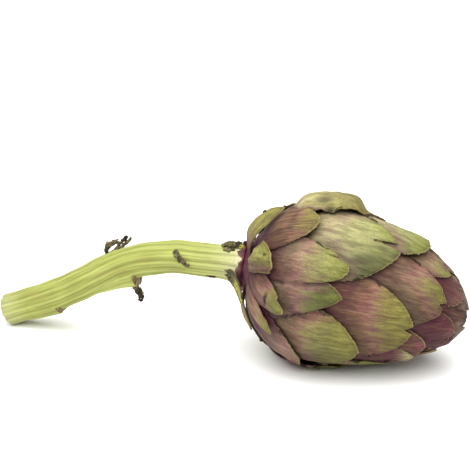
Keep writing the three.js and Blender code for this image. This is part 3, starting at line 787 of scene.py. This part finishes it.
def folded_grid(b, rows, columns):
    """As bract_grid, for the scale whose end is creased into a four-sided flap."""
    along, across = gridded(np.linspace(0, 1, rows), np.linspace(-1, 1, columns))
    root, end = (
        stacked(*(np.interp(across, side[:, 0], side[:, k]) for k in (1, 2, 3)))
        for side in (FLAP_ROOT, FLAP_END)
    )
    x, degrees, height = np.moveaxis(root + (end - root) * along[..., None], -1, 0)
    crease = across - FLAP_CREASE
    height = height + FLAP_ARCH * (1 - np.minimum(np.abs(crease), 1)) * smooth(along, 0, 0.3)
    height = height + 0.25 * ripple(along * 2.5, across * 1.5, 3.7)
    height = height - FLAP_SINK * (1 - smooth(along, 0, 0.2))
    arc = arc_at(x)
    forward, outward = outline_direction(arc)
    az = np.radians(degrees)
    out = outline_at(arc)[1] + height * forward
    outer = from_head(stacked(x - height * outward, -out * np.sin(az), out * np.cos(az)))
    reach = 0.4 + 0.6 * along
    margin = along_margin(outer), along_margin(height)
    return Grid(b, along, across, reach, np.full_like(reach, b.half), outer, height, margin)


def margin_distance(grid, others):
    """How far each point of a bract is from the nearest margin of a bract that lies over it."""
    places = np.concatenate([other.margin[0] for other in others])
    heights = np.concatenate([other.margin[1] for other in others]).tolist()
    tree = KDTree(len(places))
    for index, place in enumerate(places.tolist()):
        tree.insert(place, index)
    tree.balance()
    away = []
    for place, own in zip(grid.outer.reshape(-1, 3).tolist(), grid.proud.ravel().tolist()):
        distance = tree.find(place, filter=lambda other: heights[other] > own)[2]
        away.append(FAR_AWAY if distance is None else distance)
    return np.array(away).reshape(grid.proud.shape)


def bract_piece(grid, others, material, seed):
    b, along, across, reach, half_width, outer = grid[:6]
    thickness = MARGIN + (BLADE - MARGIN + b.swell) * (1 - across ** 2) * (1 - 0.75 * along ** 4)
    shape, faces, belongs, under = shell(outer, thickness)
    to_side = (1 - np.abs(across)) * half_width
    to_tip = (reach[-1:, :] - reach) * b.length
    edge = np.minimum(to_side, to_tip) + 1.2 * (1 - smooth(reach, 0.5, 0.85))
    edge = edge.ravel()[belongs] + 0.25 * (under > 0)
    skin = stacked(across * half_width, reach * b.length, seed)

    away = margin_distance(grid, others)
    # Painted shade: a dark line beside each margin that lies over this bract, and a softer painted
    # shadow beyond it.
    painted_shade = GAP_DARK * bell(away / GAP_WIDTH) + SHADOW_DARK * bell(away / SHADOW_REACH)
    tone = bract_tone(b, reach, across)
    tone[..., 0] -= COVERED_VIOLET * bell(away / COVERED_REACH)
    # The lower margin is darker, partly its own colour and partly painted shade; the stains add to it.
    murk = b.murk * smooth(across, -0.9, 0.7) + stained(b, reach, across, STAIN_DARK)
    light = (1 - np.clip(murk, 0, 0.9)) * (1 - painted_shade)
    # Painted shade: the hidden face of each bract is darkened.
    light = light.ravel()[belongs] * np.where(under > 0, UNDERSIDE_LIGHT, 1)
    head_piece(f"bract_{b.name}", shape, faces, material, {
        "skin": skin.reshape(-1, 3)[belongs], "tone": tone.reshape(-1, 3)[belongs], "edge": edge,
        "murk": 1 - light,
    })


def receptacle(material):
    """The core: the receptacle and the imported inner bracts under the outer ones."""
    arc = np.linspace(CORE_FOOT + 2, ARC_LENGTH - 3, CORE_ROWS)
    x, radius = outline_at(arc)
    forward, outward = outline_direction(arc)
    depth = CORE_FOOT_DEPTH + (CORE_DEPTH - CORE_FOOT_DEPTH) * smooth(arc, *CORE_SINKS)
    along = np.concatenate(([0, 0], x + outward * depth, [HEAD_LENGTH - CORE_DEPTH]))
    out = np.concatenate(([0.01, CORE_FOOT], np.maximum(radius - forward * depth, 1), [0.01]))
    out, turn = gridded(out, np.linspace(0, 2 * math.pi, CORE_SIDES + 1))
    points = from_head(stacked(along[:, None], -out * np.sin(turn), out * np.cos(turn)))
    weld(head_piece("receptacle", points, grid_faces(*out.shape), material, {}))


# ---- The stem ----
# From the joint, down to where the cut end touches the surface.
STEM_POINTS = (
    (-7, 0.1, 0.6), (-20.5, 0.4, 0.8), (-32.8, 0.8, 1.0), (-45.5, 1.2, -0.9), (-57.8, 1.8, -4.8),
    (-75, 2.6, -14), (-92.7, 3.6, -24), (-110.6, 4.6, -32.5), (-125.5, 5.7, -38.7),
)
HEAD_AXIS = np.array((math.cos(HEAD_DIP), 0.0, -math.sin(HEAD_DIP)))


def catmull_rom(points, steps):
    """Points of a centripetal Catmull-Rom curve through the given ones."""
    padded = np.vstack((2 * points[0] - points[1], points, 2 * points[-1] - points[-2]))
    pieces = []
    share = np.linspace(0, 1, steps, endpoint=False)[:, None]
    for i in range(len(points) - 1):
        p0, p1, p2, p3 = padded[i:i + 4]
        d0, d1, d2 = (math.sqrt(np.linalg.norm(b - a)) for a, b in ((p0, p1), (p1, p2), (p2, p3)))
        t1 = d1 * ((p1 - p0) / d0 - (p2 - p0) / (d0 + d1) + (p2 - p1) / d1)
        t2 = d1 * ((p2 - p1) / d1 - (p3 - p1) / (d1 + d2) + (p3 - p2) / d2)
        cubic, square = 2 * p1 - 2 * p2 + t1 + t2, -3 * p1 + 3 * p2 - 2 * t1 - t2
        pieces.append(p1 + t1 * share + square * share ** 2 + cubic * share ** 3)
    return np.vstack((*pieces, points[-1:]))


STEM_CURVE = catmull_rom(
    np.vstack((JUNCTION - HEAD_AXIS * FIT_GAP, JUNCTION + np.array(STEM_POINTS))), 60,
)
STEM_ARC = np.concatenate(([0], np.cumsum(np.linalg.norm(np.diff(STEM_CURVE, axis=0), axis=1))))
STEM_LENGTH = STEM_ARC[-1]

# Bases of the cut leaves: each swells along the stem and ends in a step that faces the head.
# at: distance from the head. turn: degrees round the stem, 0 at the top and 90 at the front.
# slant: how much nearer to the head the step is for each degree further round.
LEAF_BASES = (
    Row(at=29, turn=76, height=2.4, spread=24, length=34, slant=0.13),
    Row(at=57, turn=158, height=4.6, spread=30, length=24, slant=0.03),
    Row(at=62, turn=-28, height=1.6, spread=22, length=30, slant=-0.05),
    Row(at=84, turn=-112, height=2.0, spread=24, length=30, slant=0.1),
    Row(at=104, turn=150, height=1.9, spread=24, length=22, slant=0.05),
)
STEP_LENGTH = 1.8


def from_step(base, distance, turn):
    """How far each place is past a leaf base's step, in mm, and round from its middle, in degrees."""
    away = (turn - base.turn + 540) % 360 - 180
    return distance - (base.at - base.slant * away), away


def stem_radius(distance, turn):
    flare = STEM_FLARE * np.exp(-distance / FLARE_LENGTH)
    radius = STEM_RADIUS + flare + RIB_HEIGHT * np.cos(np.radians(turn) * STEM_RIBS)
    for base in LEAF_BASES:
        past, away = from_step(base, distance, turn)
        swell = smooth(past, -STEP_LENGTH, 0) * np.clip(1 - past / base.length, 0, 1) ** 1.2
        radius = radius + base.height * swell * bell(away / base.spread)
    worn = np.clip(1 - (STEM_LENGTH - distance) / CUT_BEVEL, 0, 1)
    return radius - CUT_BEVEL * (1 - np.sqrt(1 - 0.9 * worn ** 2))


def stem_scars(distance, turn):
    """How brown the stem is: on each step where a leaf was cut."""
    scar = np.zeros_like(turn)
    for base in LEAF_BASES:
        past, away = from_step(base, distance, turn)
        on_step = bell((past + 0.6 * STEP_LENGTH) / 1.2)
        scar = scar + on_step * np.exp(-((away / (1.1 * base.spread)) ** 4))
    return scar


def stem_frame(distance):
    """Middle of the stem, and the directions of its top and front, at each distance."""
    at = np.clip(distance, 0, STEM_LENGTH)
    centre, ahead, behind = (
        stacked(*(np.interp(place, STEM_ARC, STEM_CURVE[:, k]) for k in range(3)))
        for place in (at, np.clip(at + 0.5, 0, STEM_LENGTH), np.clip(at - 0.5, 0, STEM_LENGTH))
    )
    along = unit(ahead - behind)
    centre = centre + along * (distance - at)[..., None]
    up = unit((0, 0, 1) - along * along[..., 2:])
    return centre, up, np.cross(up, along)


def stem_point(distance, turn, proud, out=1.0):
    centre, up, front = stem_frame(distance)
    radius = (stem_radius(distance, turn) * out + proud)[..., None]
    angle = np.radians(turn)[..., None]
    return centre + up * radius * np.cos(angle) + front * radius * np.sin(angle)


def fine_furrow(distance, turn):
    """How deep in one of the fine furrows between the main ribs each place is, 0 to 1."""
    drift = np.radians(turn + 5 * np.sin(distance / 23) + 3 * np.sin(distance / 9 + 1))
    return (0.5 - 0.5 * np.cos(FINE_FURROWS * drift + 2 * np.sin(3 * drift))) ** 2.5


def stem_body(material):
    """The ribbed stem and its cut end, whose rows run in to the middle (out falls from 1 to 0)."""
    wall = np.linspace(STEM_START, STEM_LENGTH, STEM_ROWS)
    distance = np.concatenate((wall, np.full(CUT_ROWS, STEM_LENGTH)))
    distance, turn = gridded(distance, np.linspace(0, 360, STEM_SIDES + 1))
    out = np.concatenate((np.ones(STEM_ROWS), np.linspace(1, 0, CUT_ROWS + 1)[1:]))[:, None]
    ring = np.radians(turn)
    furrow = fine_furrow(distance, turn)
    uneven = 0.22 * ripple(distance / 30, np.sin(ring), 5.1) - FURROW_DEPTH * furrow
    points = stem_point(distance, turn, uneven * smooth(out, 0.5, 1), out)
    crumpled = 0.25 * ripple(out * np.cos(ring) * 2, out * np.sin(ring) * 2, 8.2)
    dished = 0.7 * (1 - out ** 2) + crumpled
    _, up, front = stem_frame(distance)
    points -= np.cross(front, up) * (dished * (out < 1))[..., None]

    furrowed = 0.5 * furrow + 0.25 - 0.25 * np.cos(ring * STEM_RIBS)
    pale = 0.85 * np.exp(-np.clip(distance, 0, None) / 7) + 0.25 * smooth(distance, 118, 132)
    scar = stem_scars(distance, turn) + 0.55 * (out < 0.95)
    skin = stacked(ring * STEM_RADIUS * out, distance + 8 * (1 - out), 0)
    weld(stem_piece("stem_body", points, grid_faces(*turn.shape, flip=True), material, {
        "skin": skin, "tone": stacked(furrowed, pale, scar),
    }))


def collar(material):
    """The ragged violet ring where the outermost bracts grow out of the stem."""
    along, turn = gridded(np.linspace(0, 1, COLLAR_ROWS), np.linspace(0, 360, COLLAR_SIDES + 1))
    ring = np.radians(turn)
    reach = 1.0 + 0.9 * ripple(np.cos(ring) * 1.2, np.sin(ring) * 1.2, 3.3)
    reach = reach + 0.35 * ripple(ring * 2.4, 0, 9.1)
    reach = np.where(turn > 352, reach + (reach[:, :1] - reach) * (turn - 352) / 8, reach)
    distance = COLLAR_START + (reach - COLLAR_START) * along
    proud = 0.75 * (1 - along ** 2.5) - 0.12
    proud = proud + 0.12 * ripple(ring * 4, along * 1.5, 4.4) * (1 - along)
    green = 0.02 + 0.5 * np.clip(along + 0.2 * ripple(ring * 5, along, 7.7) - 0.75, 0, 1)
    points, faces = stem_point(distance, turn, proud), grid_faces(*turn.shape, flip=True)
    weld(head_piece("collar", points, faces, material, {
        "skin": stacked(ring * 10, distance, 0), "tone": stacked(green, 0.25 * along, 0),
        "edge": np.full(turn.shape, 9),
    }))


# Dry remains of leaves: narrow blades that start inside the stem and bend away from it.
# start, end: distances down the stem. rise: height of the tip. turn_end: where the tip is turned to.
DRY_LEAVES = (
    Row(name="withered_strand", start=66.5, end=54.8, turn=-16, turn_end=-22, half=0.9, rise=3.0,
        wave=0.5, fresh=0),
    Row(name="small_leaf", start=6.8, end=-6, turn=103, turn_end=109, half=3.3, rise=8.0, wave=0.3,
        fresh=1),
)
DRY_SINK = 1.5
DRY_THICKNESS = 0.7

# Crumbs of withered leaves: (distance, degrees round the stem, height over it, half lengths along,
# round and out, how fresh, and number).
CRUMBS = dict(
    withered_top=(
        (68.4, -20, 0.5, 0.8, 1.0, 1.3, -1, 1), (67.4, -20, 2.2, 1.2, 1.3, 1.4, -0.3, 2),
        (65.4, -20, 3.0, 2.0, 1.6, 1.4, 0.1, 3), (62.8, -21, 3.0, 2.1, 1.5, 1.3, 0.1, 4),
        (60.4, -21, 3.0, 1.7, 1.2, 0.9, -0.1, 5), (58.6, -22, 3.9, 1.5, 1.0, 1.0, -0.8, 6),
        (57.2, -22, 4.8, 1.1, 0.8, 0.9, -1, 7),
    ),
    withered_under=(
        (58.2, 156, 0.2, 1.4, 1.4, 1.3, -0.4, 11), (57.4, 157, 2.0, 1.5, 1.5, 1.6, -0.8, 12),
        (56.8, 158, 4.2, 1.3, 1.4, 1.6, -1, 17),
        (56.4, 160, 6.0, 1.1, 1.2, 1.5, -1, 13), (55.6, 160, 7.4, 0.8, 0.8, 0.8, 0.5, 14),
        (57.8, 162, 7.2, 1.0, 0.6, 0.6, -1, 15), (59.4, 163, 7.0, 1.0, 0.5, 0.4, -1, 16),
    ),
    withered_joint=(
        (9.0, -2, 0.2, 1.6, 1.6, 1.0, 0.1, 21), (6.8, 0, 0.8, 1.9, 1.9, 1.2, -0.4, 22),
        (4.4, 3, 0.9, 1.9, 1.8, 1.2, 0.1, 23), (2.2, 6, 1.2, 1.5, 1.6, 1.1, -1, 24),
        (0.4, 14, 0.8, 1.4, 1.3, 1.1, 1, 25), (-0.8, 10, 2.0, 0.9, 1.0, 1.0, -1, 26),
    ),
    joint_bump=(
        (6.8, 24, -0.2, 2.2, 1.1, 0.9, 0, 27), (4.6, 22, -0.1, 1.4, 0.8, 0.7, -0.5, 28),
    ),
    torn_lip=(
        (31.4, 52, 0.9, 1.1, 1.3, 0.8, -0.3, 31), (30.2, 62, 1.5, 1.2, 1.5, 0.9, 0, 32),
        (28.9, 72, 1.5, 1.1, 1.5, 0.8, -0.6, 33), (27.2, 82, 0.9, 0.9, 1.2, 0.5, -0.1, 34),
        (25.4, 90, 0.3, 0.9, 1.0, 0.4, 0.1, 35),
    ),
    flat_crumb=(
        (14.6, 132, 0.1, 1.5, 1.2, 0.5, -1, 41), (13.0, 132, 0.1, 0.9, 0.9, 0.5, -0.6, 42),
    ),
)


def dry_leaf(leaf, material):
    along, across = gridded(np.linspace(0, 1, DRY_ROWS), np.linspace(-1, 1, DRY_COLUMNS))
    distance = leaf.start + (leaf.end - leaf.start) * along
    width = leaf.half * (1 - 0.8 * along ** 2) * (0.5 + 0.5 * smooth(along, 0, 0.3))
    spread = np.degrees(across * width / STEM_RADIUS)
    turn = leaf.turn + (leaf.turn_end - leaf.turn) * along + spread
    crease = leaf.wave * np.sin(7 * along + 2 * across) * along
    crumple = 0.7 * leaf.wave * along * ripple(along * 3, across * 0.6, leaf.start)
    proud = -DRY_SINK + (leaf.rise + DRY_SINK) * along ** 1.4 + crease + crumple + 0.8 * across ** 2
    outer = stem_point(distance, turn, proud)
    points, faces, belongs, _ = shell(outer[:, ::-1], np.full(outer.shape[:2], DRY_THICKNESS))
    green = smooth(along, 0.3, 0.6) * (1 - smooth(np.abs(across - 0.1), 0.45, 0.9))
    fresh = (leaf.fresh * (1.5 * green - 0.5))[:, ::-1].ravel()[belongs]
    stem_piece(leaf.name, points, faces, material, {"fresh": fresh})


def crumb_group(name, crumbs, material):
    """Small crumpled lumps that run into one another."""
    lat = np.linspace(0.001, math.pi - 0.001, CRUMB_ROWS)
    lat, lon = gridded(lat, np.linspace(0, 2 * math.pi, CRUMB_COLUMNS))
    x, y, z = np.cos(lat), np.sin(lat) * np.cos(lon), np.sin(lat) * np.sin(lon)
    points, faces, freshness = [], [], []
    for distance, turn, proud, half_along, half_round, half_out, fresh, seed in crumbs:
        folds = 0.36 * ripple(0.8 * x + 0.6 * z, 0.8 * y - 0.4 * z, seed)
        crumpled = 1 + folds + 0.16 * ripple(2 * x, 2 * z + y, seed + 5)
        centre, up, front = stem_frame(distance)
        along = np.cross(front, up)
        out = up * math.cos(math.radians(turn)) + front * math.sin(math.radians(turn))
        lump = centre + out * (stem_radius(distance, turn) + proud)
        lump = lump + (crumpled * x * half_along)[..., None] * along
        lump = lump + (crumpled * y * half_round)[..., None] * np.cross(along, out)
        lump = lump + (crumpled * z * half_out)[..., None] * out
        faces += grid_faces(CRUMB_ROWS, CRUMB_COLUMNS, len(points) * x.size)
        points.append(lump)
        freshness.append(np.full(x.size, fresh))
    weld(stem_piece(name, np.array(points), faces, material, {"fresh": freshness}))


# ---- Studio ----
CAMERA_AZIMUTH = math.radians(12)
CAMERA_ELEVATION = math.radians(22)
CAMERA_DISTANCE = 0.7
FOCAL_PIXELS = 1435  # focal length in pixels of a 470 pixel wide frame
FRAME_PIXELS = 470
JOINT_PIXEL = (243, 265)  # where the stem joint appears
SENSOR_WIDTH = 36
CLIP_END = 20

# Soft lights over the object, in metres and watts.
LIGHTS = dict(
    key=dict(place=(0.0, -0.22, 0.80), size=1.5, watts=22),
    back=dict(place=(-0.3, 0.5, 0.8), size=0.5, watts=0.8),
)
LIGHT_AIM = Vector((0, 0, 0.03))
WORLD_STRENGTH = 0.35
FLOOR_HALF = 4.0


def photo_camera():
    a, e = CAMERA_AZIMUTH, CAMERA_ELEVATION
    right = Vector((math.cos(a), math.sin(a), 0))
    forward = Vector((-math.sin(a) * math.cos(e), math.cos(a) * math.cos(e), -math.sin(e)))
    up = right.cross(forward)
    metres_per_pixel = CAMERA_DISTANCE / FOCAL_PIXELS
    middle = FRAME_PIXELS / 2
    target = Vector(JUNCTION) * MM
    target += right * (middle - JOINT_PIXEL[0]) * metres_per_pixel
    target += up * (JOINT_PIXEL[1] - middle) * metres_per_pixel
    data = bpy.data.cameras.new("camera")
    data.sensor_width = SENSOR_WIDTH
    data.clip_end = CLIP_END
    data.lens = FOCAL_PIXELS / FRAME_PIXELS * SENSOR_WIDTH
    camera = placed("camera", data)
    turned = Matrix((right, up, -forward)).transposed().to_4x4()
    camera.matrix_world = Matrix.Translation(target - forward * CAMERA_DISTANCE) @ turned
    bpy.context.scene.camera = camera


def soft_light(name, place, size, watts):
    data = bpy.data.lights.new(name, "AREA")
    data.shape = "DISK"
    data.size = size
    data.energy = watts
    light = placed(name, data)
    light.location = place
    light.rotation_euler = (LIGHT_AIM - Vector(place)).to_track_quat("-Z", "Y").to_euler()


def studio():
    mesh = bpy.data.meshes.new("floor")
    corners = [(x * FLOOR_HALF, y * FLOOR_HALF, 0) for x, y in ((-1, -1), (1, -1), (1, 1), (-1, 1))]
    mesh.from_pydata(corners, [], [(0, 1, 2, 3)])
    mesh.materials.append(floor_skin())
    floor = placed("floor", mesh)
    floor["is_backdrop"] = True
    world = bpy.data.worlds.new("world")
    world.use_nodes = True
    background = world.node_tree.nodes["Background"]
    background.inputs["Color"].default_value = (1, 1, 1, 1)
    background.inputs["Strength"].default_value = WORLD_STRENGTH
    bpy.context.scene.world = world
    bpy.context.scene.view_settings.view_transform = "Standard"
    for name, light in LIGHTS.items():
        soft_light(name, **light)


# ---- Assembly ----
photo_camera()
studio()

bract_material = bract_skin()
grids = [folded_grid(FOLDED_SCALE, *FRONT_GRID)]
grids += [bract_grid(row, *FRONT_GRID) for row in FRONT_BRACTS]
grids += [bract_grid(row, *BACK_GRID) for row in back_bracts()]
for index, grid in enumerate(grids):
    bract_piece(grid, grids[:index] + grids[index + 1:], bract_material, 1.7 * index)
receptacle(core_skin())
collar(bract_material)
stem_body(stem_skin())
dry_material = dry_skin()
for leaf in DRY_LEAVES:
    dry_leaf(leaf, dry_material)
for name, crumbs in CRUMBS.items():
    crumb_group(name, crumbs, dry_material)

boxes = {"cad": CAD_BOX, "visual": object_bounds()}
{key: [list(map(float, corner)) for corner in box] for key, box in boxes.items()}
